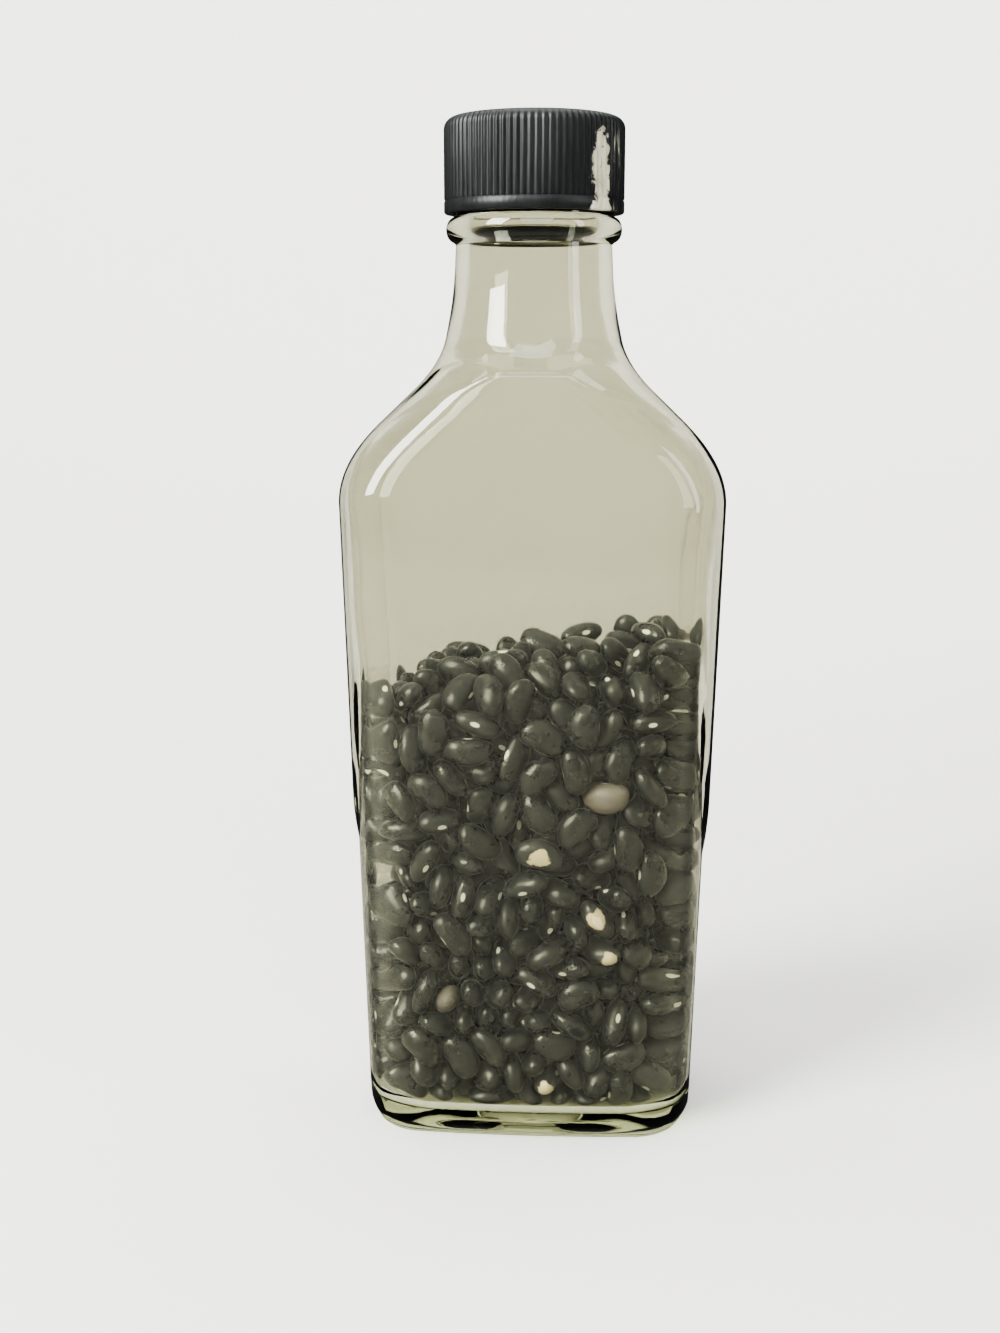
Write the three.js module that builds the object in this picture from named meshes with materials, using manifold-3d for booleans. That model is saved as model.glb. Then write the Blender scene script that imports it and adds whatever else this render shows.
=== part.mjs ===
// A clear glass flask with a ribbed screw cap, part filled with dry beans. Millimetres.
// It stands on Z = 0 about the Z axis, with its width along X and its front facing -Y.

import * as THREE from "three";
import { mergeVertices } from "three/addons/utils/BufferGeometryUtils.js";
import Module from "manifold-3d";

const wasm = await Module();
wasm.setup();

// Driving dimensions: the whole
const totalHeight = 200;
const capHeight = 17.8;
const gap = 0.4;

// Driving dimensions: the glass from the front, the side and face on.
// Each is a straight start and the bends above it: height, slope after, half length of the curve.
const halfWidthLine = {
  start: 34.1,
  slope: 0.029,
  bends: [
    { height: 134.7, slope: -1.042, ease: 8 },
    { height: 153.7, slope: -0.2, ease: 5 },
    { height: 166.6, slope: -0.05, ease: 5 },
  ],
};
const halfDepthLine = {
  start: 23,
  slope: 0.008,
  bends: [{ height: 122, slope: -0.115, ease: 8 }],
};
const facetLine = {
  start: 22,
  slope: 0.045,
  bends: [{ height: 131.5, slope: -1.038, ease: 6 }],
};
const sideFlatShare = 0.3;
const crownShare = 0.035;
const bodyTop = 112;
const shoulderFoot = 121;
const shoulderTop = 157;
const neckRingHeights = [161, 168];

// Driving dimensions: the raised panel of each side
const panelFoot = 50;
const panelStep = 0.85;
const panelBlend = 8;
const panelArch = 0.12;
const panelMargin = 2;

// Driving dimensions: the glass below, inside and at the mouth
const heelRadius = 3.2;
const rimWidth = 4.3;
const pushUp = 0.6;
const pushUpBevel = 2;
const wall = 2.6;
const innerFacetInset = 1.7;
const floorThickness = 4.2;
const floorDome = 1;
const innerHeelRadius = 4.5;
const neckTop = 176.8;
const beadBulge = 1.9;
const beadHeight = 4.8;
const beadFall = 0.9;
const finishRadius = 15;
const mouthRadius = 12.7;
const lipRound = 0.9;

// Driving dimensions: the cap
const capRadius = 17.4;
const capWall = 2;
const capBand = 2.4;
const capRibs = 84;
const ribDepth = 0.35;
const capEdgeRadius = 2.2;
const capTopInset = 1.3;

// Driving dimensions: the beans
const beanLength = 9.6;
const beanWidth = 6.4;
const beanThickness = 4.8;
const beanGap = 0.6;
const heapMiddle = 93.5;
const heapLean = 0.2;
const heapWave = 1.6;
const heapWaveAcross = 7;
const heapWaveDeep = 6;
const beanSpacing = 10.5;
const beanRowRise = 8.2;
const beanStray = 0.3;
const beanDrift = 2;
const wallRock = 0.7;
const topRock = 1;
const topClearance = 1.12;
const coreInset = 2.2;
const aroundCore = 16;
const settleSteps = 60;
const settleStep = 0.2;

// Shared shapes and materials
const aroundGlass = 36;
const mouthHeight = totalHeight - capWall - gap;
const capBottom = totalHeight - capHeight;

const glassMaterial = new THREE.MeshStandardMaterial({ color: 0xdfe3d6, roughness: 0.04, metalness: 0 });
const capMaterial = new THREE.MeshStandardMaterial({ color: 0x232625, roughness: 0.42, metalness: 0 });
const beanMaterial = new THREE.MeshStandardMaterial({ color: 0x1b1c1f, roughness: 0.38, metalness: 0 });

// Value of a bent line at a height: each bend adds its change of slope through a short parabola.
function bentLine(line, height) {
  let value = line.start + line.slope * height;
  let slope = line.slope;
  for (const bend of line.bends) {
    const past = height - bend.height;
    const eased = (past + bend.ease) ** 2 / (4 * bend.ease);
    const ramp = past < -bend.ease ? 0 : past > bend.ease ? past : eased;
    value += (bend.slope - slope) * ramp;
    slope = bend.slope;
  }
  return value;
}

function evenSteps(from, to, count) {
  return Array.from({ length: count + 1 }, (_, step) => from + ((to - from) * step) / count);
}

// Sizes of a level slice through the outside of the glass, drawn in by an inset.
function outsideSlice(height, inset = 0) {
  const halfWidth = bentLine(halfWidthLine, height);
  const halfDepth = Math.min(bentLine(halfDepthLine, height), halfWidth);
  const facet = Math.max(bentLine(facetLine, height) - inset / 2, 0);
  return { halfWidth: halfWidth - inset, halfDepth: halfDepth - inset, facet };
}

// Sizes of a level slice through the hollow of the glass.
function hollowSlice(height, inset = 0) {
  const outside = outsideSlice(height, wall + inset);
  return { ...outside, facet: Math.max(outside.facet - innerFacetInset, 0) };
}

// Outline of a level slice: crowned front and back, flat sides, elliptical corners.
function sliceOutline({ halfWidth, halfDepth, facet }) {
  const flat = sideFlatShare * facet;
  const edge = halfDepth - crownShare * facet;
  const quarter = Math.PI / 2;
  const cornerWidth = halfWidth - facet;
  const cornerDepth = edge - flat;
  const path = new THREE.Path();
  path.moveTo(halfWidth, 0);
  path.lineTo(halfWidth, flat);
  path.absellipse(facet, flat, cornerWidth, cornerDepth, 0, quarter);
  path.quadraticCurveTo(facet / 2, halfDepth, 0, halfDepth);
  path.quadraticCurveTo(-facet / 2, halfDepth, -facet, edge);
  path.absellipse(-facet, flat, cornerWidth, cornerDepth, quarter, 2 * quarter);
  path.lineTo(-halfWidth, -flat);
  path.absellipse(-facet, -flat, cornerWidth, cornerDepth, 2 * quarter, 3 * quarter);
  path.quadraticCurveTo(-facet / 2, -halfDepth, 0, -halfDepth);
  path.quadraticCurveTo(facet / 2, -halfDepth, facet, -edge);
  path.absellipse(facet, -flat, cornerWidth, cornerDepth, 3 * quarter, 4 * quarter);
  path.lineTo(halfWidth, 0);
  return path;
}

// A level ring of even points on a slice's outline.
function sliceRing(sizes, height, count = aroundGlass) {
  const points = sliceOutline(sizes).getSpacedPoints(count).slice(0, count);
  return points.map((point) => new THREE.Vector3(point.x, point.y, height));
}

function roundRing(radius, height, count = aroundGlass) {
  return evenSteps(0, 2 * Math.PI, count)
    .slice(0, count)
    .map((turn) => new THREE.Vector3(radius * Math.cos(turn), radius * Math.sin(turn), height));
}

// A closed skin through rings of equal count, shut by a point on the axis at each end.
function closedSkin(startHeight, rings, endHeight) {
  const around = rings[0].length;
  const points = [new THREE.Vector3(0, 0, startHeight), ...rings.flat(), new THREE.Vector3(0, 0, endHeight)];
  const last = points.length - 1;
  const faces = [];
  for (let side = 0; side < around; side += 1) {
    const next = (side + 1) % around;
    faces.push(0, 1 + next, 1 + side);
    for (let ring = 0; ring < rings.length - 1; ring += 1) {
      const low = 1 + ring * around;
      const high = low + around;
      faces.push(low + side, low + next, high + next);
      faces.push(low + side, high + next, high + side);
    }
    faces.push(last - around + side, last - around + next, last);
  }
  const geometry = new THREE.BufferGeometry().setFromPoints(points);
  geometry.setIndex(faces);
  return geometry;
}

function solidFrom(geometry) {
  const bare = geometry.clone();
  bare.deleteAttribute("normal");
  bare.deleteAttribute("uv");
  const merged = mergeVertices(bare);
  return new wasm.Manifold(
    new wasm.Mesh({
      numProp: 3,
      vertProperties: new Float32Array(merged.attributes.position.array),
      triVerts: new Uint32Array(merged.index.array),
    }),
  );
}

function geometryFrom(solid) {
  const mesh = solid.getMesh();
  const geometry = new THREE.BufferGeometry();
  geometry.setAttribute("position", new THREE.BufferAttribute(mesh.vertProperties, 3));
  geometry.setIndex(new THREE.BufferAttribute(mesh.triVerts, 1));
  return geometry;
}

function namedMesh(name, geometry, material) {
  geometry.computeVertexNormals();
  const mesh = new THREE.Mesh(geometry, material);
  mesh.name = name;
  return mesh;
}

// The side of the glass steps in below the raised panel, whose foot is arched.
function stepSideIn(point, sizes) {
  const foot = panelFoot + panelArch * point.y ** 2;
  const low = 1 - THREE.MathUtils.smoothstep(point.z, foot, foot + panelBlend);
  const towardSide = Math.max(Math.abs(point.x) - sizes.facet, 0) / (sizes.halfWidth - sizes.facet);
  point.x -= Math.sign(point.x) * panelStep * low * towardSide ** 2;
  return point;
}

function outsideRing(height, inset = 0) {
  const sizes = outsideSlice(height, inset);
  return sliceRing(sizes, height).map((point) => stepSideIn(point, sizes));
}

// The underside: a shallow push-up, the flat bearing rim and the rounded heel.
function undersideRings() {
  const rimInside = heelRadius + rimWidth;
  const raised = outsideRing(0, rimInside + pushUpBevel);
  raised.forEach((point) => point.setZ(pushUp));
  const heel = evenSteps(0, Math.PI / 2, 3).map((turn) => {
    const ring = outsideRing(0, heelRadius * (1 - Math.sin(turn)));
    ring.forEach((point) => point.setZ(heelRadius * (1 - Math.cos(turn))));
    return ring;
  });
  return [raised, outsideRing(0, rimInside), ...heel];
}

// The neck's bead, the plain finish that the cap covers and the rounded lip.
function mouthRings() {
  const neckRadius = bentLine(halfWidthLine, neckTop);
  const beadMiddle = neckTop + beadHeight / 2;
  const bead = evenSteps(-1, 1, 4).map((way) => {
    const bulge = Math.sqrt(1 - beadFall * way ** 2);
    return roundRing(neckRadius + beadBulge * bulge, beadMiddle + (way * beadHeight) / 2);
  });
  return [
    ...bead,
    roundRing(finishRadius, neckTop + beadHeight + gap / 2),
    roundRing(finishRadius, mouthHeight - lipRound),
    roundRing(finishRadius - lipRound, mouthHeight),
    roundRing(mouthRadius + lipRound / 2, mouthHeight),
    roundRing(mouthRadius, mouthHeight - lipRound),
  ];
}

// A ring of the hollow: the outside point at a height, moved in square to the front outline.
function hollowRing(height) {
  const tilt = Math.atan(bentLine(halfWidthLine, height + 0.5) - bentLine(halfWidthLine, height - 0.5));
  const innerHeight = height + wall * Math.sin(tilt);
  const sizes = hollowSlice(innerHeight);
  sizes.halfWidth = bentLine(halfWidthLine, height) - wall * Math.cos(tilt);
  return sliceRing(sizes, innerHeight);
}

// The inside foot of the hollow: a wide round into a slightly domed floor.
function floorRings() {
  const middle = floorThickness + innerHeelRadius;
  return evenSteps(0, Math.PI / 2, 3).map((turn) => {
    const inset = innerHeelRadius * (1 - Math.cos(turn));
    return sliceRing(hollowSlice(middle, inset), middle - innerHeelRadius * Math.sin(turn));
  });
}

function bottleGeometry() {
  const panelTop = panelFoot + panelBlend + 2 * panelMargin;
  const panelLevels = [panelFoot - panelMargin, ...evenSteps(panelFoot + panelMargin, panelTop, 2)];
  const upperLevels = [bodyTop, ...evenSteps(shoulderFoot, shoulderTop, 9), ...neckRingHeights];
  const outside = [...panelLevels, ...upperLevels, neckTop].map((height) => outsideRing(height));
  const hollow = upperLevels.reverse().map(hollowRing);
  const rings = [...undersideRings(), ...outside, ...mouthRings(), ...hollow, ...floorRings()];
  return closedSkin(pushUp, rings, floorThickness + floorDome);
}

// The cap: a cup with fine upright ribs over a smooth lower band, and a rounded top edge.
function capGeometry() {
  const around = 2 * capRibs;
  const ribBottom = capBottom + capBand;
  const ribTop = totalHeight - capEdgeRadius;
  const smoothRing = (radius, height) => roundRing(radius, height, around);
  const ribbedRing = (height) =>
    smoothRing(capRadius, height).map((point, index) =>
      index % 2 ? point.multiply(new THREE.Vector3(1 - ribDepth / capRadius, 1 - ribDepth / capRadius, 1)) : point,
    );
  const rings = [
    smoothRing(capRadius, capBottom),
    smoothRing(capRadius, ribBottom),
    ribbedRing(ribBottom + ribDepth),
    ribbedRing(ribTop),
    smoothRing(capRadius - capTopInset, totalHeight),
  ];
  const outer = solidFrom(closedSkin(capBottom, rings, totalHeight));
  const cupRadius = finishRadius + gap;
  const cupTop = totalHeight - capWall;
  const cupFoot = capBottom - 1;
  const cup = closedSkin(cupFoot, [roundRing(cupRadius, cupFoot), roundRing(cupRadius, cupTop)], cupTop);
  return geometryFrom(outer.subtract(solidFrom(cup)));
}

// Height of the heap's uneven top, which leans up toward +X.
function heapTop(across, deep) {
  const waves = Math.sin(across / heapWaveAcross) * Math.cos(deep / heapWaveDeep);
  return heapMiddle + heapLean * across + heapWave * waves;
}

// Whether a point lies in the hollow, clear of the glass by the bean gap.
function clearOfGlass(point) {
  const { halfWidth, halfDepth, facet } = hollowSlice(point.z, beanGap);
  const flat = sideFlatShare * facet;
  const crown = crownShare * facet;
  const across = Math.abs(point.x);
  const deep = Math.abs(point.y);
  if (point.z < floorThickness + floorDome + beanGap || across > halfWidth) return false;
  if (across <= facet) return deep <= halfDepth - crown * (across / facet) ** 2;
  const cornerDepth = halfDepth - crown - flat;
  return Math.hypot((across - facet) / (halfWidth - facet), Math.max(deep - flat, 0) / cornerDepth) <= 1;
}

const random = THREE.MathUtils.seededRandom;

// One bean of few sides, lying with its flat way square to a direction, rolled and rocked.
function beanPoints(facing, rock) {
  const geometry = new THREE.IcosahedronGeometry(1, 0);
  geometry.computeBoundingBox();
  const reach = geometry.boundingBox.max;
  geometry.scale(beanLength / 2 / reach.x, beanWidth / 2 / reach.y, beanThickness / 2 / reach.z);
  geometry.rotateZ(2 * Math.PI * random());
  geometry.rotateX(rock * (random() - 0.5));
  geometry.rotateY(rock * (random() - 0.5));
  const turn = new THREE.Quaternion().setFromUnitVectors(new THREE.Vector3(0, 0, 1), facing);
  geometry.applyQuaternion(turn);
  return geometry;
}

// A bean at a place, moved toward the middle of the heap until all of it is clear of the glass.
function settledBean(place, inward, rock) {
  const bean = beanPoints(inward, rock);
  const corners = [];
  const positions = bean.attributes.position;
  for (let index = 0; index < positions.count; index += 1) {
    corners.push(new THREE.Vector3().fromBufferAttribute(positions, index));
  }
  const centre = place.clone().addScaledVector(inward, beanThickness / 2);
  const middle = new THREE.Vector3(0, 0, heapMiddle / 2);
  for (let step = 0; step < settleSteps; step += 1) {
    if (corners.every((corner) => clearOfGlass(corner.clone().add(centre)))) break;
    centre.addScaledVector(middle.clone().sub(centre).normalize(), settleStep);
  }
  return bean.translate(centre.x, centre.y, centre.z);
}

// Beans against the glass, in staggered rows from the floor to the heap's top.
function wallBeans() {
  const beans = [];
  const lowest = floorThickness + floorDome + beanWidth / 2;
  const highest = heapMiddle + heapLean * bentLine(halfWidthLine, heapMiddle);
  const rows = Math.ceil((highest - lowest) / beanRowRise);
  for (let row = 0; row < rows; row += 1) {
    const height = lowest + row * beanRowRise;
    const outline = sliceOutline(hollowSlice(height));
    const count = Math.round(outline.getLength() / beanSpacing);
    for (let index = 0; index < count; index += 1) {
      const share = ((index + (row % 2) / 2 + beanStray * random()) / count) % 1;
      const spot = outline.getPointAt(share);
      const along = outline.getTangentAt(share);
      const place = new THREE.Vector3(spot.x, spot.y, height + beanDrift * (random() - 0.5));
      const inward = new THREE.Vector3(-along.y, along.x, 0).normalize();
      const centre = place.clone().addScaledVector(inward, beanThickness);
      const roof = heapTop(centre.x, centre.y) - beanThickness / 2;
      if (centre.z < roof) beans.push(settledBean(place, inward, wallRock));
    }
  }
  return beans;
}

// Beans over the top of the heap, on a staggered grid.
function topBeans() {
  const beans = [];
  const down = new THREE.Vector3(0, 0, -1);
  const { halfWidth, halfDepth } = hollowSlice(heapMiddle, beanLength / 2);
  const rows = Math.floor((2 * halfDepth) / beanSpacing);
  const columns = Math.floor((2 * halfWidth) / beanSpacing);
  for (let row = 0; row <= rows; row += 1) {
    for (let column = 0; column <= columns; column += 1) {
      const across = (column + (row % 2) / 2 + beanStray * random() - columns / 2 - 1 / 2) * beanSpacing;
      const deep = (row + beanStray * (random() - 0.5) - rows / 2) * beanSpacing;
      const place = new THREE.Vector3(across, deep, heapTop(across, deep) + random());
      const rim = place.clone().multiplyScalar(topClearance).setZ(place.z);
      if (clearOfGlass(rim)) beans.push(settledBean(place, down, topRock));
    }
  }
  return beans;
}

// The dark middle of the heap, under the beans that show.
function heapCore() {
  const bottom = floorThickness + floorDome + 1;
  const rings = evenSteps(0, 1, 2).map((share) => {
    const level = bottom + share * (heapMiddle - bottom);
    const ring = sliceRing(hollowSlice(level, coreInset), 0, aroundCore);
    ring.forEach((point) => {
      const top = heapTop(point.x, point.y) - coreInset;
      point.setZ(bottom + share * (top - bottom));
    });
    return ring;
  });
  return closedSkin(bottom, rings, heapTop(0, 0) - coreInset);
}

function beansGeometry() {
  random(3152);
  const beans = [...wallBeans(), ...topBeans()].map(solidFrom);
  const heap = beans.reduce((whole, bean) => whole.add(bean), solidFrom(heapCore()));
  return geometryFrom(heap);
}

const flask = new THREE.Group();
flask.add(namedMesh("bottle", bottleGeometry(), glassMaterial));
flask.add(namedMesh("cap", capGeometry(), capMaterial));
flask.add(namedMesh("beans", beansGeometry(), beanMaterial));

export default flask;
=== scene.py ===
import math

import bpy
import numpy as np
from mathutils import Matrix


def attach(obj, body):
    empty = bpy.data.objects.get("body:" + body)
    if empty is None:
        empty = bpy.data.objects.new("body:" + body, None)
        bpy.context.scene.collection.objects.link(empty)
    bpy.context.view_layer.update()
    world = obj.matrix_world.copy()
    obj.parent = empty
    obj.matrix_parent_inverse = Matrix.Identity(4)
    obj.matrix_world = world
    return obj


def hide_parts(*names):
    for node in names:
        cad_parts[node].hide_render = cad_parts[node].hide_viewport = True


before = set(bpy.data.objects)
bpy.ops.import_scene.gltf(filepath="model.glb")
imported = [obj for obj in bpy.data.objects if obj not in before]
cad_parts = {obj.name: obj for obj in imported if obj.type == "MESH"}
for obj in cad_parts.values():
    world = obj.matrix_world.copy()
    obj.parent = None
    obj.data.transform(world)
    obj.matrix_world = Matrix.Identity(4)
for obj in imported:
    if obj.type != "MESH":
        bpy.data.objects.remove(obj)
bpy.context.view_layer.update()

MM = 0.001


# The glass flask: clear moulded glass, flat in front and behind under a pointed arch, with
# soft corners, a raised panel on each side, a push-up below and a bead under the cap.
# Blown in an iron mould, so the outside is true and the inside wanders a little.

# Sizes are in millimetres. A line is its value at the floor, its slope, and bends of (height,
# slope past it, ease). Levels are the first height, the last and the count of rings.
HALF_WIDTH = (34.1, 0.029, [(134.7, -1.042, 8), (153.7, -0.2, 5), (166.6, -0.05, 5)])
HALF_DEPTH = (23, 0.008, [(122, -0.115, 8)])
FACET = (22, 0.045, [(131.5, -1.038, 6)])
SIDE_FLAT_SHARE = 0.3
CROWN_SHARE = 0.035
PANEL_FOOT, PANEL_STEP, PANEL_BLEND, PANEL_ARCH = 50, 0.85, 8, 0.12
HEEL_RADIUS, RIM_WIDTH, PUSH_UP = 3.2, 4.3, 0.6
WALL, INNER_FACET_INSET = 2.6, 1.7
FLOOR, FLOOR_DOME, INNER_HEEL = 4.2, 1, 4.5
NECK_TOP, BEAD_BULGE, BEAD_HEIGHT = 176.8, 1.9, 4.8
FINISH_RADIUS, MOUTH_RADIUS, MOUTH_HEIGHT, LIP_ROUND = 15, 12.7, 197.6, 0.9
FINISH_STEP, LIP_STEP, BEAD_FALL = 0.2, 0.3, 0.94
HOLLOW_CENTRE, HOLLOW_EDGE = 0.15, 0.62
DOME_EDGE, DOME_CENTRE = 0.88, 0.12
BODY_LEVELS = ((6, 120, 70), (121, 158, 75), (159, 176.4, 22))
INNER_NECK_TOP = 174
MOULD_WANDER = 0.07
MOULD_WAVES = ((6.1, np.inf, 17, 0), (-11, np.inf, 8.3, 2), (23, 5, 4.7, 0))
GLASS_AROUND, HALVINGS = 224, 30
SHARP_TURN = math.radians(50)
TINY = 1e-6


def bent(line, height):
    """A straight line and its bends: past each bend the change of slope is added along a
    straight growth, which starts as a parabola over the bend's ease on both sides."""
    value, slope, bends = line
    value = value + slope * height
    for at, after, ease in bends:
        past = height - at
        eased = (past + ease) ** 2 / (4 * ease)
        grown = np.where(past < -ease, 0, np.where(past > ease, past, eased))
        value = value + (after - slope) * grown
        slope = after
    return value


def slice_sizes(height, inset=0.0, facet_inset=0.0):
    """Half width, half depth and half facet of a level slice, drawn in by an inset: all of
    it off the width and the depth, and half of it off the facet."""
    half_width = bent(HALF_WIDTH, height)
    half_depth = np.minimum(bent(HALF_DEPTH, height), half_width)
    facet = np.maximum(bent(FACET, height) - inset / 2 - facet_inset, 0)
    return half_width - inset, half_depth - inset, facet


def in_slice(across, deep, half_width, half_depth, facet):
    """Whether a point is in a level slice: under the crowned front, which falls with the
    square of the way across, or within the corner's ellipse, or beside the flat side."""
    flat = SIDE_FLAT_SHARE * facet
    crown = CROWN_SHARE * facet
    front = half_depth - crown * (across / np.maximum(facet, TINY)) ** 2
    past_facet = (across - facet) / (half_width - facet)
    past_flat = np.maximum(deep - flat, 0) / (half_depth - crown - flat)
    return np.where(across <= facet, deep <= front, np.hypot(past_facet, past_flat) <= 1)


def slice_rings(half_width, half_depth, facet, around):
    """The outline of each slice along even rays from the axis, found by halving each ray
    over and over: (rings, around) arrays of x and y."""
    turn = np.arange(around) * (2 * np.pi / around)
    sizes = [np.asarray(size, float)[:, None] for size in (half_width, half_depth, facet)]
    low = np.zeros((len(half_width), around))
    high = low + sizes[0] + 1
    for _ in range(HALVINGS):
        middle = (low + high) / 2
        inside = in_slice(np.abs(middle * np.cos(turn)), np.abs(middle * np.sin(turn)), *sizes)
        low = np.where(inside, middle, low)
        high = np.where(inside, high, middle)
    return low * np.cos(turn), low * np.sin(turn)


def mesh_piece(name, points, faces):
    """A smooth piece in the scene, from points in millimetres and a list of faces."""
    mesh = bpy.data.meshes.new(name)
    mesh.from_pydata((points * MM).tolist(), [], faces)
    mesh.polygons.foreach_set("use_smooth", np.ones(len(mesh.polygons), bool))
    piece = bpy.data.objects.new(name, mesh)
    bpy.context.scene.collection.objects.link(piece)
    return piece


def ring_quads(count, around, first):
    """The four-cornered faces between rings of points that are numbered from the first."""
    side = np.arange(around)
    following = (side + 1) % around
    low = first + np.arange(count - 1)[:, None] * around
    high = low + around
    quads = np.stack([low + side, low + following, high + following, high + side], -1)
    return quads.reshape(-1, 4).tolist()


def ring_skin(name, rings, start, end):
    """A closed skin through rings of equal count, shut by a fan to a point at each end."""
    count, around, _ = rings.shape
    points = np.concatenate([[start], rings.reshape(-1, 3), [end]])
    side = np.arange(around)
    following = (side + 1) % around
    last = len(points) - 1
    top = last - around
    first_fan = np.stack([np.zeros_like(side), 1 + following, 1 + side], -1)
    last_fan = np.stack([top + side, top + following, np.full_like(side, last)], -1)
    faces = ring_quads(count, around, 1) + first_fan.tolist() + last_fan.tolist()
    piece = mesh_piece(name, points, faces)
    piece.data.set_sharp_from_angle(angle=SHARP_TURN)
    return piece


def smooth_step(value):
    """0 below 0, 1 above 1, and three squares less two cubes between."""
    value = np.clip(value, 0, 1)
    return value * value * (3 - 2 * value)


def side_step(x, y, height, half_width, facet):
    """The side drawn in below its raised panel, whose foot rises with the square of y."""
    foot = PANEL_FOOT + PANEL_ARCH * y**2
    low = 1 - smooth_step((height - foot) / PANEL_BLEND)
    toward_side = np.maximum(np.abs(x) - facet, 0) / (half_width - facet)
    return x - np.sign(x) * PANEL_STEP * low * toward_side**2


def outside_rings(height, inset):
    """Rings of the outside at heights and insets."""
    sizes = slice_sizes(height, inset)
    x, y = slice_rings(*sizes, GLASS_AROUND)
    x = side_step(x, y, height[:, None], sizes[0][:, None], sizes[2][:, None])
    return np.stack([x, y, np.broadcast_to(height[:, None], x.shape)], -1)


def round_rings(radius, height, around):
    """Level circles of given radii at given heights."""
    turn = np.arange(around) * (2 * np.pi / around)
    x = radius[:, None] * np.cos(turn)
    y = radius[:, None] * np.sin(turn)
    return np.stack([x, y, np.broadcast_to(height[:, None], x.shape)], -1)


def underside_rings():
    """The push-up, a smooth hollow inside the flat bearing rim, and the rounded heel."""
    rim_inside = HEEL_RADIUS + RIM_WIDTH
    share = np.linspace(HOLLOW_CENTRE, 1, 14)
    hollow = outside_rings(np.zeros_like(share), np.full_like(share, rim_inside))
    hollow[..., :2] *= share[:, None, None]
    past_edge = (share - HOLLOW_EDGE) / (1 - HOLLOW_EDGE)
    hollow[..., 2] = (PUSH_UP * (1 - smooth_step(past_edge)))[:, None]
    turn = np.linspace(0, np.pi / 2, 9)
    heel = outside_rings(np.zeros_like(turn), HEEL_RADIUS * (1 - np.sin(turn)))
    heel[..., 2] = (HEEL_RADIUS * (1 - np.cos(turn)))[:, None]
    return np.concatenate([hollow, heel])


def mouth_rings():
    """The bead, whose bulge is the root of a falling square, the plain finish and the lip."""
    way = np.linspace(-1, 1, 17)
    neck = bent(HALF_WIDTH, np.array([NECK_TOP]))[0]
    bead_radius = neck + BEAD_BULGE * np.sqrt(1 - BEAD_FALL * way**2)
    bead_height = NECK_TOP + BEAD_HEIGHT / 2 * (1 + way)
    turn = np.linspace(0, np.pi / 2, 5)
    radius = np.concatenate(
        [
            bead_radius,
            [FINISH_RADIUS, FINISH_RADIUS],
            FINISH_RADIUS - LIP_ROUND * (1 - np.cos(turn)),
            MOUTH_RADIUS + LIP_ROUND / 2 * (1 - np.sin(turn)),
            [MOUTH_RADIUS],
        ]
    )
    height = np.concatenate(
        [
            bead_height,
            [NECK_TOP + BEAD_HEIGHT + FINISH_STEP, MOUTH_HEIGHT - LIP_ROUND - LIP_STEP],
            MOUTH_HEIGHT - LIP_ROUND + LIP_ROUND * np.sin(turn),
            MOUTH_HEIGHT - LIP_ROUND / 2 * (1 - np.cos(turn)),
            [MOUTH_HEIGHT - LIP_ROUND],
        ]
    )
    return round_rings(radius, height, GLASS_AROUND)


def hollow_rings(height):
    """The inside: each outside ring moved in by the wall, square to the front outline."""
    reach = 0.5
    rise = bent(HALF_WIDTH, height + reach) - bent(HALF_WIDTH, height - reach)
    tilt = np.arctan(rise / (2 * reach))
    inner = height + WALL * np.sin(tilt)
    _, half_depth, facet = slice_sizes(inner, WALL, INNER_FACET_INSET)
    half_width = bent(HALF_WIDTH, height) - WALL * np.cos(tilt)
    x, y = slice_rings(half_width, half_depth, facet, GLASS_AROUND)
    return np.stack([x, y, np.broadcast_to(inner[:, None], x.shape)], -1)


def floor_rings():
    """The inside foot, a wide round into a floor that rises to a low dome."""
    middle = FLOOR + INNER_HEEL
    turn = np.linspace(0, np.pi / 2, 10)
    level = np.full_like(turn, middle)
    inset = WALL + INNER_HEEL * (1 - np.cos(turn))
    x, y = slice_rings(*slice_sizes(level, inset, INNER_FACET_INSET), GLASS_AROUND)
    z = middle - INNER_HEEL * np.sin(turn)
    foot = np.stack([x, y, np.broadcast_to(z[:, None], x.shape)], -1)
    share = np.linspace(DOME_EDGE, DOME_CENTRE, 9)
    dome = np.repeat(foot[-1:], len(share), 0)
    dome[..., :2] *= share[:, None, None]
    dome[..., 2] = (FLOOR + FLOOR_DOME * (1 - smooth_step(share)))[:, None]
    return np.concatenate([foot, dome])


def wander(rings):
    """The hand of the mould: slow waves in and out, each the sine of x, y and z over a
    length of its own plus a phase."""
    x, y, z = np.moveaxis(rings, -1, 0)
    wave = sum(np.sin(x / a + y / b + z / c + phase) for a, b, c, phase in MOULD_WAVES)
    scale = 1 + MOULD_WANDER * wave / np.maximum(np.hypot(x, y), 1)
    rings = rings.copy()
    rings[..., :2] *= scale[..., None]
    return rings


body_levels = np.concatenate([np.linspace(*levels) for levels in BODY_LEVELS])
outside = outside_rings(body_levels, np.zeros(len(body_levels)))
above_heel = body_levels > FLOOR + INNER_HEEL + 1
inner_levels = body_levels[above_heel & (body_levels < INNER_NECK_TOP)]
hollow = wander(hollow_rings(inner_levels[::-1]))
glass_rings = np.concatenate([underside_rings(), outside, mouth_rings(), hollow, floor_rings()])
bottle = ring_skin("flask_glass", glass_rings, (0, 0, PUSH_UP), (0, 0, FLOOR + FLOOR_DOME))


def new_material(name):
    """A node material, its nodes and its Principled shader."""
    material = bpy.data.materials.new(name)
    material.use_nodes = True
    nodes = material.node_tree.nodes
    return material, nodes, nodes["Principled BSDF"]


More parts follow.
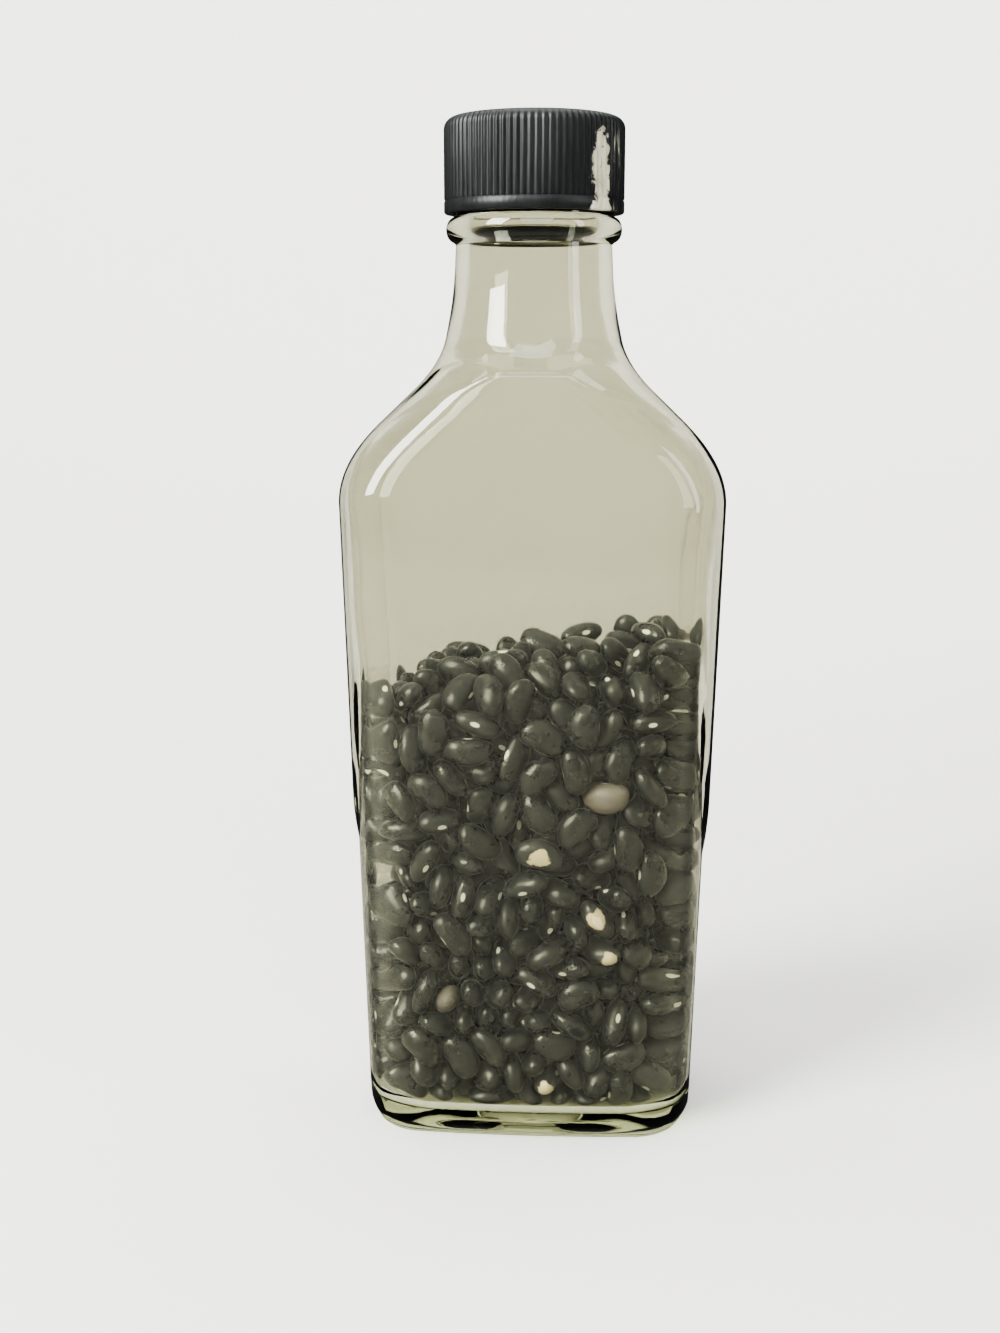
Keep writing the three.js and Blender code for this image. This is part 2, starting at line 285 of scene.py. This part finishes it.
def add_node(nodes, kind, **settings):
    """A node of a kind, with inputs set by name and properties by attribute."""
    node = nodes.new(kind)
    for key, value in settings.items():
        if key in node.inputs:
            node.inputs[key].default_value = value
        else:
            setattr(node, key, value)
    return node


def feed(socket, value):
    """A value given to a socket: a link from another socket, or a number or a colour."""
    if isinstance(value, bpy.types.NodeSocket):
        socket.id_data.links.new(value, socket)
    else:
        socket.default_value = value


def ramp(source, low, high, to_low=0.0, to_high=1.0):
    """A Map Range node that carries a value from one range to another, held at the ends."""
    limits = {"From Min": low, "From Max": high, "To Min": to_low, "To Max": to_high}
    node = add_node(source.id_data.nodes, "ShaderNodeMapRange", **limits)
    feed(node.inputs["Value"], source)
    return node.outputs["Result"]


def combine(operation, first, second=0.0):
    """A Math node of a socket and of a second socket or a number."""
    node = add_node(first.id_data.nodes, "ShaderNodeMath", operation=operation)
    feed(node.inputs[0], first)
    feed(node.inputs[1], second)
    return node.outputs[0]


def colour_mix(factor, first, second):
    """A Mix node between two colours, each a socket or four numbers."""
    node = add_node(factor.id_data.nodes, "ShaderNodeMix", data_type="RGBA")
    feed(node.inputs["Factor"], factor)
    feed(node.inputs[6], first)
    feed(node.inputs[7], second)
    return node.outputs[2]


def noise(place, scale, detail, roughness):
    """The value of a Noise node over a place."""
    settings = {"Scale": scale, "Detail": detail, "Roughness": roughness}
    node = add_node(place.id_data.nodes, "ShaderNodeTexNoise", **settings)
    feed(node.inputs["Vector"], place)
    return node.outputs["Fac"]


def relief(height, strength):
    """The normal of a Bump node over a height, for a relief a fifth of a millimetre deep."""
    node = add_node(height.id_data.nodes, "ShaderNodeBump", Strength=strength, Distance=0.0002)
    feed(node.inputs["Height"], height)
    return node.outputs[0]


glass, nodes, shader = new_material("clear_glass")
# The base colour is the glass's own pale olive tint, made darker and greyer as painted shade for
# the dark room seen in and through the glass.
shader.inputs["Base Color"].default_value = (0.61, 0.6, 0.505, 1)
shader.inputs["Transmission Weight"].default_value = 1.0
shader.inputs["IOR"].default_value = 1.51
where = add_node(nodes, "ShaderNodeTexCoord").outputs["Object"]
film = noise(where, scale=160.0, detail=6.0, roughness=0.6)
feed(shader.inputs["Roughness"], ramp(film, 0.52, 0.75, 0.0, 0.09))
clear = add_node(nodes, "ShaderNodeBsdfTransparent")
clear.inputs["Color"].default_value = (0.93, 0.95, 0.91, 1)
path = add_node(nodes, "ShaderNodeLightPath")
through = add_node(nodes, "ShaderNodeMixShader")
output = nodes["Material Output"]
feed(through.inputs[0], path.outputs["Is Shadow Ray"])
feed(through.inputs[1], shader.outputs[0])
feed(through.inputs[2], clear.outputs[0])
feed(output.inputs["Surface"], through.outputs[0])
tint = add_node(nodes, "ShaderNodeVolumeAbsorption", Density=55.0)
tint.inputs["Color"].default_value = (0.66, 0.69, 0.5, 1)
feed(output.inputs["Volume"], tint.outputs[0])
bottle.data.materials.append(glass)
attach(bottle, "root")
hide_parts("bottle")


# The screw cap: black moulded plastic, a cup with upright ribs for the fingers over a smooth
# band, and a rounded top edge. It is screwed down over the plain glass finish, and its right
# front is scuffed through to a pale cream.
CAP_RADIUS, CAP_HEIGHT, CAP_WALL, CAP_BAND = 17.4, 17.8, 2.0, 2.4
CAP_TOP = 200.0
CAP_RIBS, RIB_DEPTH, CAP_EDGE = 84, 0.32, 2.2
CAP_AROUND = CAP_RIBS * 6
CAP_GAP, CAP_CHAMFER, CAP_CENTRE, CAP_HALFWAY = 0.4, 0.25, 2.0, 0.55
BAND_GROOVE, RIB_START, RIB_LEVEL, RIB_ROOT = 0.2, 0.35, 4, 0.3
cap_bottom = CAP_TOP - CAP_HEIGHT
cup_top = CAP_TOP - CAP_WALL


def cap_profile():
    """Radius, height and share of rib depth of each ring: down the inside of the cup, up the
    band and the ribs, round the edge by a quarter circle, and over the top."""
    cup_radius = FINISH_RADIUS + CAP_GAP
    cup = [(CAP_CENTRE, cup_top, 0), (cup_radius, cup_top, 0), (cup_radius, cap_bottom, 0)]
    edge_foot = CAP_TOP - CAP_EDGE
    band_top = cap_bottom + CAP_BAND
    outer = [
        (CAP_RADIUS - CAP_CHAMFER, cap_bottom, 0),
        (CAP_RADIUS, cap_bottom + CAP_CHAMFER, 0),
        (CAP_RADIUS, band_top - CAP_CHAMFER, 0),
        (CAP_RADIUS - BAND_GROOVE, band_top, RIB_ROOT),
        (CAP_RADIUS, band_top + RIB_START, 1),
        (CAP_RADIUS, edge_foot - RIB_LEVEL, 1),
        (CAP_RADIUS, edge_foot, 1),
    ]
    edge = [
        (
            CAP_RADIUS - CAP_EDGE * (1 - math.cos(turn)),
            edge_foot + CAP_EDGE * math.sin(turn),
            math.cos(turn) ** 0.5,
        )
        for turn in np.linspace(0, np.pi / 2, 9)[1:-1]
    ]
    top = [
        (CAP_RADIUS - CAP_EDGE, CAP_TOP, 0),
        (CAP_RADIUS * CAP_HALFWAY, CAP_TOP, 0),
        (CAP_CENTRE, CAP_TOP, 0),
    ]
    return np.array(cup + outer + edge + top)


radius, height, rib_share = cap_profile().T
cap_rings = round_rings(radius, height, CAP_AROUND)
rib_turn = np.arange(CAP_AROUND) * (2 * np.pi * CAP_RIBS / CAP_AROUND)
groove = 0.5 - 0.5 * np.cos(rib_turn)
sunk = 1 - RIB_DEPTH * rib_share[:, None] * groove / radius[:, None]
cap_rings[..., :2] *= sunk[..., None]
cap = ring_skin("screw_cap", cap_rings, (0, 0, cup_top), (0, 0, CAP_TOP))

plastic, nodes, shader = new_material("black_cap_plastic")
where = add_node(nodes, "ShaderNodeTexCoord").outputs["Object"]
split = add_node(nodes, "ShaderNodeSeparateXYZ")
feed(split.inputs[0], where)
turn_at = combine("ARCTAN2", split.outputs["X"], combine("MULTIPLY", split.outputs["Y"], -1))


def turn_from(turn):
    """How far around the cap a point lies from a turn, in radians."""
    return combine("ABSOLUTE", combine("SUBTRACT", turn_at, turn))


# The scuff's middle is at a turn from the front. Its patches thin out between two heights
# below the top edge, in metres, and faint upright streaks lie beside it.
SCUFF_TURN, SCUFF_HALF = math.radians(49), math.radians(9)
SCUFF_TOP, SCUFF_WHOLE = 0.1975, 0.1945
STREAKS_ASIDE = 0.22
stretch = add_node(nodes, "ShaderNodeMapping")
stretch.inputs["Scale"].default_value = (900, 900, 90)
feed(stretch.inputs["Vector"], where)
grain = noise(stretch.outputs[0], scale=1.0, detail=5.0, roughness=0.65)
patches = noise(where, scale=420.0, detail=4.0, roughness=0.6)
away = turn_from(SCUFF_TURN)
near = ramp(away, SCUFF_HALF * 1.3, SCUFF_HALF * 0.3)
below_edge = ramp(split.outputs["Z"], SCUFF_TOP, SCUFF_WHOLE)
ragged = combine("MULTIPLY", ramp(patches, 0.3, 0.7, -0.5, 0.5), 1.1)
worn = combine("ADD", combine("MULTIPLY", near, below_edge), ragged)
worn = ramp(combine("MULTIPLY", worn, ramp(away, 0.3, 0.22)), 0.45, 0.62)
beside = ramp(turn_from(SCUFF_TURN + STREAKS_ASIDE), 0.2, 0.05)
streaks = combine("MULTIPLY", combine("MULTIPLY", beside, below_edge), ramp(grain, 0.55, 0.68))
scuff = combine("MAXIMUM", worn, streaks)
cream = colour_mix(ramp(grain, 0.35, 0.7), (0.3, 0.28, 0.2, 1), (0.66, 0.63, 0.5, 1))
black = colour_mix(ramp(grain, 0.3, 0.7), (0.006, 0.007, 0.0068, 1), (0.014, 0.0155, 0.015, 1))
feed(shader.inputs["Base Color"], colour_mix(scuff, black, cream))
dull = combine("ADD", ramp(patches, 0.3, 0.7, 0.34, 0.48), combine("MULTIPLY", scuff, 0.3))
feed(shader.inputs["Roughness"], dull)
feed(shader.inputs["Normal"], relief(grain, strength=0.25))
shader.inputs["Specular IOR Level"].default_value = 0.35
cap.data.materials.append(plastic)
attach(cap, "root")
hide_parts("cap")


# The beans: dry black beans poured in through the neck, so they lie every way and close
# against the glass, higher on the right. Each is four equal balls while the heap settles.
BEAN_LENGTH, BEAN_WIDTH, BEAN_THICK = 9.6, 6.4, 4.8
BEAN_COUNT, BEAN_ALONG, BEAN_AROUND = 660, 11, 13
BEAN_TAPER, BEAN_BEND, BEAN_LIFT = 0.85, 0.5, 0.2
DENT_DEPTH, DENT_LENGTH = 0.4, 1.7
SIZE_SPREAD, SIZE_LEAST, SIZE_MOST = 0.05, 0.88, 1.03
STREWN_FOOT, STREWN_TOP, STREWN_ACROSS, STREWN_DEEP = 8, 108, 30, 16
BALL, GLASS_GAP, NEAR_GAP = BEAN_THICK / 2, 0.15, 1.5
DOME_ACROSS, DOME_DEEP, SUNK_MOST = 27, 13, 0.98
SETTLE_ROUNDS, PAIR_ROUNDS, PUSH_ROUNDS = 600, 10, 3
FALL, FALL_SHARE, PUSH = 0.06, 0.8, 1.8
HEAP_LEAN = 0.2
SCAR_LENGTH, SCAR_WIDTH, BELLY, CHIP_EDGE = 0.95, 0.45, 0.5, 0.15
CORE_HALF = np.array([15.0, 2.0, 24.0])
CORE_ROUND = 7.0
CORE_MIDDLE = np.array([0.0, 0.0, 44.0])
balls = np.array([(2.4, 0, 0), (-2.4, 0, 0), (0, 0.85, 0), (0, -0.75, 0)])
rng = np.random.default_rng(3152)


def turned(count):
    """Evenly random rotations, from unit quaternions of four normal draws."""
    w, x, y, z = (q := rng.normal(size=(count, 4))).T / np.linalg.norm(q, axis=1)
    return np.stack(
        [
            np.stack([1 - 2 * (y * y + z * z), 2 * (x * y - z * w), 2 * (x * z + y * w)], -1),
            np.stack([2 * (x * y + z * w), 1 - 2 * (x * x + z * z), 2 * (y * z - x * w)], -1),
            np.stack([2 * (x * z - y * w), 2 * (y * z + x * w), 1 - 2 * (x * x + y * y)], -1),
        ],
        -2,
    )


def keep_in_glass(points):
    """Ball centres moved back inside the hollow less the ball: up from the floor, in from
    the flat side, back from the crowned front, or toward the centre of the corner's ellipse."""
    sign = np.sign(points)
    across, deep, high = np.abs(points[:, 0]), np.abs(points[:, 1]), points[:, 2]
    dome = np.clip(1 - np.hypot(across / DOME_ACROSS, deep / DOME_DEEP), 0, 1)
    high = np.maximum(high, FLOOR + FLOOR_DOME * dome + BALL)
    heel = INNER_HEEL - BALL
    sunk = np.clip((FLOOR + INNER_HEEL - high) / heel, 0, SUNK_MOST)
    inset = WALL + BALL + GLASS_GAP + heel * (1 - np.sqrt(1 - sunk**2))
    half_width, half_depth, facet = slice_sizes(high, inset, INNER_FACET_INSET)
    flat, crown = SIDE_FLAT_SHARE * facet, CROWN_SHARE * facet
    front = half_depth - crown * (across / np.maximum(facet, TINY)) ** 2
    in_front = across <= facet
    deep = np.where(in_front, np.minimum(deep, front), deep)
    past_facet = (across - facet) / (half_width - facet)
    past_flat = np.maximum(deep - flat, 0) / (half_depth - crown - flat)
    far = np.hypot(past_facet, past_flat)
    shrink = np.where(in_front | (far <= 1), 1, far)
    across = np.where(in_front, across, facet + (across - facet) / shrink)
    deep = np.where(in_front | (deep <= flat), deep, flat + (deep - flat) / shrink)
    return np.stack([across * sign[:, 0], deep * sign[:, 1], high], -1)


def keep_off_core(points):
    """Ball centres moved out of the rounded block in the middle of the heap."""
    local = points - CORE_MIDDLE
    out = np.maximum(np.abs(local) - CORE_HALF, 0)
    reach = np.linalg.norm(out, axis=1)
    short = CORE_ROUND + BALL - reach
    outward = out / np.maximum(reach, TINY)[:, None]
    push = np.where(reach[:, None] > TINY, outward, [0, 1, 0]) * np.sign(local)
    return points + push * np.maximum(short, 0)[:, None]


def near_pairs(points, owner):
    """Each two balls of different beans that touch or lie within a small gap."""
    square = np.einsum("ij,ij->i", points, points)
    apart = square[:, None] + square[None, :] - 2 * points @ points.T
    first, second = np.nonzero(apart < (BEAN_THICK + NEAR_GAP) ** 2)
    other = (owner[first] != owner[second]) & (first < second)
    return first[other], second[other]


def push_apart(points, first, second):
    """Half the overlap of each two balls, given to both and shared out over a ball's contacts."""
    gap = points[first] - points[second]
    length = np.maximum(np.linalg.norm(gap, axis=1), TINY)
    over = np.maximum(BEAN_THICK - length, 0) / 2
    push = gap * (over / length)[:, None]
    ends = np.concatenate([first, second])
    shares = np.concatenate([push, -push])
    moved = [np.bincount(ends, shares[:, k], len(points)) for k in range(3)]
    contacts = np.bincount(ends, np.concatenate([over, over]) > 0, len(points))
    return points + PUSH * np.stack(moved, -1) / np.maximum(contacts, 1)[:, None]


def as_beans(points):
    """The rigid place of each bean that fits its four balls best, by the polar part of
    their spread: rotations and middles."""
    groups = points.reshape(-1, 4, 3)
    middle = groups.mean(1)
    shape = balls - balls.mean(0)
    spread = np.einsum("nki,kj->nij", groups - middle[:, None], shape)
    left, _, right = np.linalg.svd(spread + 1e-9 * np.eye(3))
    flip = np.sign(np.linalg.det(left @ right))
    left[:, :, 2] *= flip[:, None]
    return left @ right, middle


def settle():
    """Beans strewn at random through the heap's room, then many rounds of falling a little,
    keeping in the glass, off the core and apart, and staying whole."""
    least, most = (-STREWN_ACROSS, -STREWN_DEEP, 0), (STREWN_ACROSS, STREWN_DEEP, 1)
    middle = rng.uniform(least, most, (3 * BEAN_COUNT, 3))
    heap_height = STREWN_TOP - STREWN_FOOT + HEAP_LEAN * middle[:, 0]
    middle[:, 2] = STREWN_FOOT + middle[:, 2] * heap_height
    off_core = np.any(np.abs(middle - CORE_MIDDLE) > CORE_HALF + CORE_ROUND, axis=1)
    middle = middle[off_core][:BEAN_COUNT]
    turns = turned(BEAN_COUNT)
    owner = np.repeat(np.arange(BEAN_COUNT), 4)
    shape = balls - balls.mean(0)
    for step in range(SETTLE_ROUNDS):
        points = (np.einsum("nij,kj->nki", turns, shape) + middle[:, None]).reshape(-1, 3)
        if step % PAIR_ROUNDS == 0:
            pairs = near_pairs(points, owner)
        fall = FALL * max(0, 1 - step / (FALL_SHARE * SETTLE_ROUNDS))
        points = points - [0, 0, fall]
        for _ in range(PUSH_ROUNDS):
            points = push_apart(points, *pairs)
        points = keep_in_glass(keep_off_core(points))
        turns, middle = as_beans(points)
    return turns, middle


def bean_form(along, around):
    """One bean: x runs along by a cosine, the section is an ellipse that swells with the
    sine, the ends bend to +y, and the belly there is dented at the scar."""
    u = np.linspace(0, np.pi, along + 1)[:, None]
    v = np.arange(around)[None, :] * (2 * np.pi / around)
    swell = np.sin(u) ** BEAN_TAPER
    x = BEAN_LENGTH / 2 * np.cos(u) + 0 * v
    y = BEAN_WIDTH / 2 * swell * np.cos(v)
    z = BEAN_THICK / 2 * swell * np.sin(v)
    y = y + BEAN_BEND * (x / BEAN_LENGTH * 2) ** 2 - BEAN_LIFT
    y = y - DENT_DEPTH * np.exp(-((x / DENT_LENGTH) ** 2)) * np.clip(np.cos(v), 0, 1) ** 2
    rings = np.stack([x, y, z], -1)[1:-1]
    end_y = BEAN_BEND - BEAN_LIFT
    ends = np.array([[BEAN_LENGTH / 2, end_y, 0], [-BEAN_LENGTH / 2, end_y, 0]])
    points = np.concatenate([rings.reshape(-1, 3), ends])
    side = np.arange(around)
    following = (side + 1) % around
    low = np.arange(along - 2)[:, None] * around
    high = low + around
    quads = np.stack([low + side, high + side, high + following, low + following], -1)
    last = (along - 1) * around
    first_fan = np.stack([np.full_like(side, last), side, following], -1)
    end_row = last - around
    last_fan = np.stack([np.full_like(side, last + 1), end_row + following, end_row + side], -1)
    return points, quads.reshape(-1, 4), np.concatenate([first_fan, last_fan])


def bean_piece(name, chosen, material):
    """The chosen beans as one mesh: the form scaled, turned and moved for each. Attributes
    keep the form's own coordinates, one random shade for each bean, and the point of the
    form that faces the front of the flask."""
    points, quads, fans = form
    turns, middle, sizes = bean_turns[chosen], bean_middles[chosen], bean_sizes[chosen]
    count, each = len(middle), len(points)
    sized = points[None] * sizes[:, None, :]
    placed = np.einsum("nij,nkj->nki", turns, sized) + middle[:, None]
    step = (np.arange(count) * each)[:, None, None]
    faces = (quads + step).reshape(-1, 4).tolist() + (fans + step).reshape(-1, 3).tolist()
    piece = mesh_piece(name, placed.reshape(-1, 3), faces)
    mesh = piece.data
    seat = mesh.attributes.new("seat", "FLOAT_VECTOR", "POINT")
    seat.data.foreach_set("vector", np.tile(points, (count, 1)).astype(np.float32).ravel())
    shade = mesh.attributes.new("shade", "FLOAT", "POINT")
    shade.data.foreach_set("value", np.repeat(rng.random(count), each).astype(np.float32))
    half = np.array([BEAN_LENGTH, BEAN_WIDTH, BEAN_THICK]) / 2
    ahead = -turns[:, 1, :] * half
    facing = ahead * half / np.linalg.norm(ahead, axis=1)[:, None]
    front = mesh.attributes.new("front", "FLOAT_VECTOR", "POINT")
    front.data.foreach_set("vector", np.repeat(facing, each, 0).astype(np.float32).ravel())
    mesh.materials.append(material)
    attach(piece, "root")
    return piece


def bean_skin(name, dark, light, dusty, rough, chip=0.0):
    """A dry bean's skin: two tones by bean and by a slow noise, a pale oval scar in the
    middle of the belly, fine wrinkles, and dust where the noise is high. A chip of a size
    above zero shows the cream inside about the bean's front point."""
    material, nodes, shader = new_material(name)
    seat = add_node(nodes, "ShaderNodeAttribute", attribute_name="seat").outputs["Vector"]
    shade = add_node(nodes, "ShaderNodeAttribute", attribute_name="shade").outputs["Fac"]
    where = add_node(nodes, "ShaderNodeTexCoord").outputs["Object"]
    cloud = noise(where, scale=330.0, detail=4.0, roughness=0.6)
    tone = combine("ADD", combine("MULTIPLY", shade, 0.6), combine("MULTIPLY", cloud, 0.4))
    skin = colour_mix(tone, dark, light)
    skin = colour_mix(ramp(cloud, 0.6, 0.8, 0.0, dusty), skin, (0.3, 0.29, 0.28, 1))
    split = add_node(nodes, "ShaderNodeSeparateXYZ")
    feed(split.inputs[0], seat)
    along = combine("ABSOLUTE", combine("DIVIDE", split.outputs["X"], SCAR_LENGTH))
    over = combine("ABSOLUTE", combine("DIVIDE", split.outputs["Z"], SCAR_WIDTH))
    spread = combine("ADD", combine("POWER", along, 2.0), combine("POWER", over, 2.0))
    on_belly = combine("GREATER_THAN", split.outputs["Y"], BELLY)
    scar = combine("MULTIPLY", ramp(spread, 1.15, 0.8), on_belly)
    skin = colour_mix(scar, skin, (0.78, 0.76, 0.68, 1))
    if chip > 0:
        front = add_node(nodes, "ShaderNodeAttribute", attribute_name="front").outputs["Vector"]
        apart = add_node(nodes, "ShaderNodeVectorMath", operation="DISTANCE")
        feed(apart.inputs[0], seat)
        feed(apart.inputs[1], front)
        ragged = combine("ADD", apart.outputs["Value"], ramp(cloud, 0.3, 0.7, -0.9, 0.9))
        inside = ramp(ragged, chip + CHIP_EDGE, chip - CHIP_EDGE)
        skin = colour_mix(inside, skin, (0.72, 0.6, 0.4, 1))
    feed(shader.inputs["Base Color"], skin)
    feed(shader.inputs["Roughness"], ramp(cloud, 0.3, 0.75, rough - 0.08, rough + 0.12))
    wrinkles = noise(where, scale=1100.0, detail=3.0, roughness=0.55)
    feed(shader.inputs["Normal"], relief(wrinkles, strength=0.12))
    shader.inputs["Coat Weight"].default_value = 0.3
    shader.inputs["Coat Roughness"].default_value = 0.14
    return material


bean_turns, bean_middles = settle()
bean_sizes = rng.normal(1, SIZE_SPREAD, (BEAN_COUNT, 3)).clip(SIZE_LEAST, SIZE_MOST)
form = bean_form(BEAN_ALONG, BEAN_AROUND)

# Six of the beans that show in front aren't plain black: a wrinkled grey-brown one, a dusty
# brown one, and four that are chipped or split to their cream inside. Each is the bean that
# came to rest nearest to a place behind the front glass.
ODD_PLACES = np.array([(12.1, -19, 70.5), (-16.2, -19, 28)])
SPLIT_PLACES = np.array([(-3, -19, 60), (12.4, -19, 44), (15, -19, 38.5), (4.6, -18, 13)])
odd = np.linalg.norm(bean_middles[None] - ODD_PLACES[:, None], axis=-1).argmin(1)
chipped = np.linalg.norm(bean_middles[None] - SPLIT_PLACES[:, None], axis=-1).argmin(1)
plain = np.ones(BEAN_COUNT, bool)
plain[np.concatenate([odd, chipped])] = False

black_tones = (0.005, 0.0055, 0.007, 1), (0.014, 0.0155, 0.019, 1)
brown_tones = (0.06, 0.052, 0.046, 1), (0.17, 0.145, 0.13, 1)
split_tones = (0.01, 0.01, 0.012, 1), (0.03, 0.03, 0.034, 1)
black_skin = bean_skin("black_bean_skin", *black_tones, dusty=0.14, rough=0.3)
brown_skin = bean_skin("grey_brown_bean_skin", *brown_tones, dusty=0.8, rough=0.5)
split_skin = bean_skin("split_bean_skin", *split_tones, dusty=0.2, rough=0.4, chip=1.9)
black_beans = bean_piece("black_beans", plain, black_skin)
brown_beans = bean_piece("grey_brown_beans", odd, brown_skin)
split_beans = bean_piece("split_beans", chipped, split_skin)
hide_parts("beans")
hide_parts("beans")
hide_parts("beans")


# The dark middle of the heap: a plain rounded block in place of the beans that no eye
# reaches, in the same black skin, with the outer beans lying around it.
CORE_CLEAR, CORE_SQUARE = 0.4, 4


def heap_core():
    """A rounded block: each direction of a grid of turns, reaching out by the round from
    the softened corner of an inner block that it points to."""
    tilt = np.linspace(-np.pi / 2, np.pi / 2, 15)[1:-1, None]
    turn = np.arange(28)[None, :] * (2 * np.pi / 28)
    level = np.cos(tilt)
    way = [level * np.cos(turn), level * np.sin(turn), np.sin(tilt) + 0 * turn]
    way = np.stack(way, -1)
    corner = CORE_HALF * np.tanh(CORE_SQUARE * way)
    return CORE_MIDDLE + corner + (CORE_ROUND - CORE_CLEAR) * way


core_pole = np.array([0, 0, CORE_HALF[2] + CORE_ROUND - CORE_CLEAR])
core = ring_skin("heap_core", heap_core(), CORE_MIDDLE - core_pole, CORE_MIDDLE + core_pole)
core.data.materials.append(black_skin)
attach(core, "root")
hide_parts("beans")


# The stage: a pale round sweep of floor and wall, and soft light, most of it from the upper
# left. The floor stays out of mirror reflections, so its glare doesn't veil the beans.
STAGE_INNER, STAGE_FLAT, STAGE_BEND, STAGE_TOP = 800, 900, 600, 2400
STAGE_DROP, STAGE_AROUND = 0.2, 96


def sweep():
    """A round floor that turns up all around into a wall by a quarter circle."""
    turn = np.linspace(0, np.pi / 2, 16)
    bend = STAGE_FLAT + STAGE_BEND * np.sin(turn)
    radius = np.concatenate([[STAGE_INNER], bend, [STAGE_FLAT + STAGE_BEND]])
    height = np.concatenate([[0], STAGE_BEND * (1 - np.cos(turn)), [STAGE_TOP]]) - STAGE_DROP
    rings = round_rings(radius, height, STAGE_AROUND)
    faces = ring_quads(len(radius), STAGE_AROUND, 0) + [list(range(STAGE_AROUND))[::-1]]
    return mesh_piece("pale_sweep", rings.reshape(-1, 3), faces)


floor = sweep()
paper, nodes, shader = new_material("pale_paper")
shader.inputs["Base Color"].default_value = (0.7, 0.69, 0.67, 1)
shader.inputs["Roughness"].default_value = 0.85
floor.data.materials.append(paper)
floor.visible_glossy = False


def soft_light(name, place, aim, size, power, colour=(1, 1, 1)):
    """A rectangular lamp at a place, turned to face the point it is aimed at, in metres and
    watts."""
    lamp = bpy.data.lights.new(name, "AREA")
    lamp.shape = "RECTANGLE"
    lamp.size, lamp.size_y = size
    lamp.energy = power
    lamp.color = colour
    holder = bpy.data.objects.new(name, lamp)
    bpy.context.scene.collection.objects.link(holder)
    holder.location = place
    toward = np.array(aim, float) - np.array(place, float)
    tilt = math.atan2(math.hypot(toward[0], toward[1]), -toward[2])
    turn = math.atan2(toward[1], toward[0]) - math.pi / 2
    holder.rotation_euler = (tilt, 0, turn)


soft_light("key_light", place=(-0.62, -0.5, 0.62), aim=(0, 0, 0.11), size=(0.38, 0.6), power=25)
soft_light(
    "front_light",
    place=(0.1, -0.9, 1.0),
    aim=(0, 0, 0.08),
    size=(0.8, 0.4),
    power=5,
    colour=(0.86, 0.93, 1),
)
soft_light("fill_light", place=(0.75, -0.35, 0.45), aim=(0, 0, 0.1), size=(0.16, 0.6), power=2.2)
soft_light("top_light", place=(0.0, 0.25, 1.2), aim=(0, 0.3, 0), size=(1.4, 0.9), power=17)
soft_light("wall_light", place=(0.0, 0.5, 0.9), aim=(0, 1.5, 0.45), size=(1.8, 0.3), power=25)

world = bpy.data.worlds.new("soft_room")
world.use_nodes = True
nodes = world.node_tree.nodes
nodes["Background"].inputs["Color"].default_value = (0.93, 0.96, 1, 1)
toward = add_node(nodes, "ShaderNodeTexCoord").outputs["Generated"]
split = add_node(nodes, "ShaderNodeSeparateXYZ")
feed(split.inputs[0], toward)
strength = ramp(split.outputs["Z"], -0.85, -0.5, 0.6, 0.04)
feed(nodes["Background"].inputs["Strength"], strength)
bpy.context.scene.world = world
bpy.context.scene.view_settings.look = "AgX - Medium High Contrast"


# The camera, as the photograph was taken: a little above the shoulder and close in front. The
# lens comes from the focal length in the photograph's pixels, and the axis of the flask stands
# at AXIS_PIXEL across it.
SENSOR_WIDTH, NEAR_CLIP = 36, 0.01
IMAGE_HEIGHT = 1333
FOCAL_PIXELS = 1647
AXIS_PIXEL, IMAGE_MIDDLE = 533, 500
CAMERA_TURN, CAMERA_TILT = math.radians(2.3), math.radians(11.46)
CAMERA_AWAY, CAMERA_HEIGHT = 0.3294, 0.1598
camera_data = bpy.data.cameras.new("photo_camera")
camera_data.sensor_width = SENSOR_WIDTH
camera_data.lens = SENSOR_WIDTH * FOCAL_PIXELS / IMAGE_HEIGHT
camera_data.clip_start = NEAR_CLIP
camera = bpy.data.objects.new("photo_camera", camera_data)
bpy.context.scene.collection.objects.link(camera)
camera.location = (
    CAMERA_AWAY * math.sin(CAMERA_TURN),
    -CAMERA_AWAY * math.cos(CAMERA_TURN),
    CAMERA_HEIGHT,
)
aside = math.atan((AXIS_PIXEL - IMAGE_MIDDLE) / FOCAL_PIXELS)
camera.rotation_euler = (math.pi / 2 - CAMERA_TILT, 0, CAMERA_TURN + aside)
bpy.context.scene.camera = camera
